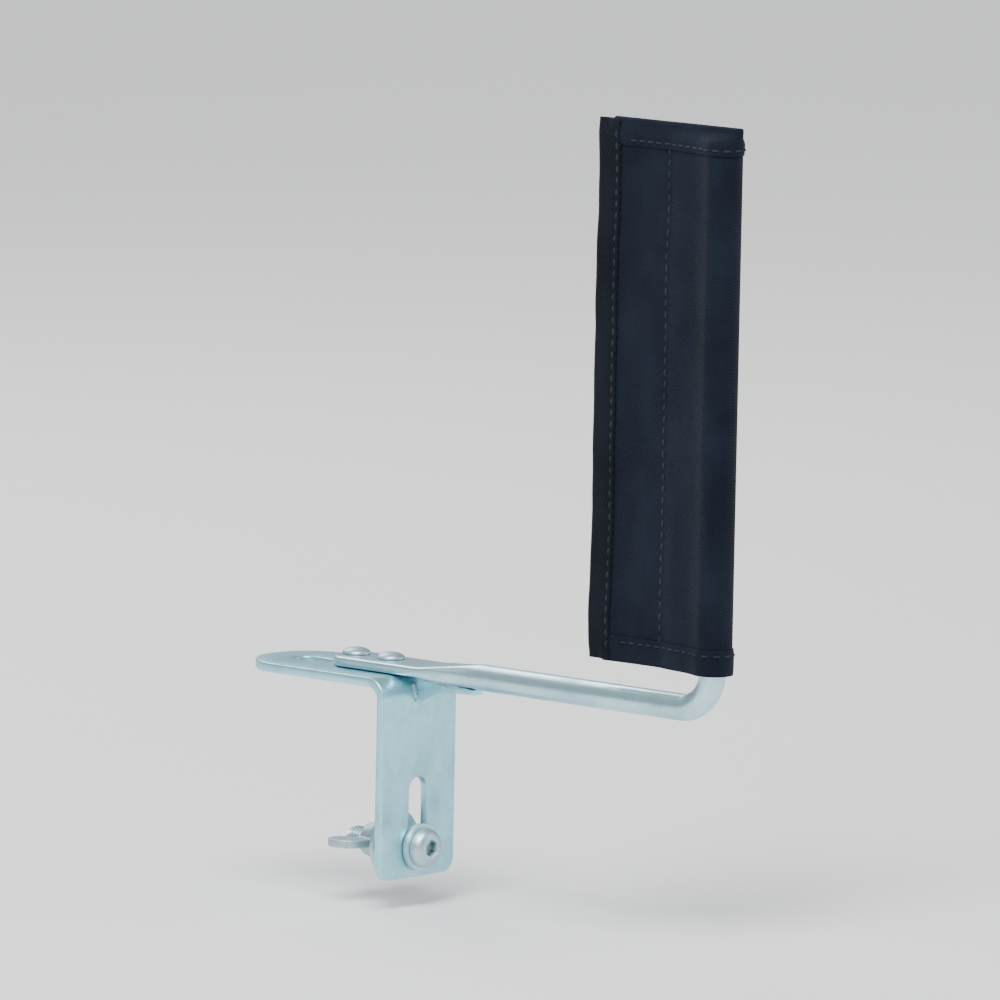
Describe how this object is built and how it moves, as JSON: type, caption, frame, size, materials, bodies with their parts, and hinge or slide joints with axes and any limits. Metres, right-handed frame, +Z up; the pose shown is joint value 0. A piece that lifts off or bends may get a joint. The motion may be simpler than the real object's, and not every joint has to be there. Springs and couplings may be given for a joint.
{
  "type": "table tennis net clamp",
  "caption": "Slotted angle bracket that bolts to a table tennis table's frame, with a bent steel net post and the fabric net sleeve slipped over it.",
  "frame": {"origin": "on the inner face of the bracket's leg, on its centre line, at the height of the table's playing surface", "axes": "+Z up, +Y inward over the table along the net, +X along the table's side"},
  "size_m": [0.029, 0.1575, 0.2059],
  "materials": {
    "zinc": "bright zinc plating, semi-gloss",
    "fastener_steel": "zinc plated, slightly duller",
    "sleeve_cloth": "woven nylon, matt",
    "tape_cloth": "woven binding tape, matt",
    "cap_plastic": "moulded, satin"
  },
  "bodies": {
    "bracket": {"angle_bracket": "zinc", "post_rod": "zinc", "gusset": "zinc", "post_cap": "cap_plastic", "rod_rivet_1": "fastener_steel", "rod_rivet_2": "fastener_steel"},
    "fixing": {"fixing_screw": "fastener_steel", "head_washer": "fastener_steel"},
    "washers": {"frame_washer": "fastener_steel", "spring_washer": "fastener_steel"},
    "nut": {"wing_nut": "fastener_steel"},
    "sleeve": {"net_sleeve": "sleeve_cloth", "edge_tape": "tape_cloth"}
  },
  "joints": [
    {"name": "height_slide", "type": "slide", "parent": "bracket", "child": "fixing", "axis": [0, 0, 1], "range_m": [0, 0.015]},
    {"name": "washer_travel", "type": "slide", "parent": "fixing", "child": "washers", "axis": [0, 1, 0], "range_m": [0, 0.005]},
    {"name": "wing_nut_turn", "type": "hinge", "parent": "washers", "child": "nut", "pos_m": [0, 0.0085, -0.032], "axis": [0, 1, 0], "range_deg": [0, 1800]},
    {"name": "sleeve_lift", "type": "slide", "parent": "bracket", "child": "sleeve", "axis": [0, 0, 1], "range_m": [0, 0.14]}
  ],
  "couplings": [
    {"joint": "washer_travel", "follows": "wing_nut_turn", "m_per_rad": 0.00015915}
  ]
}
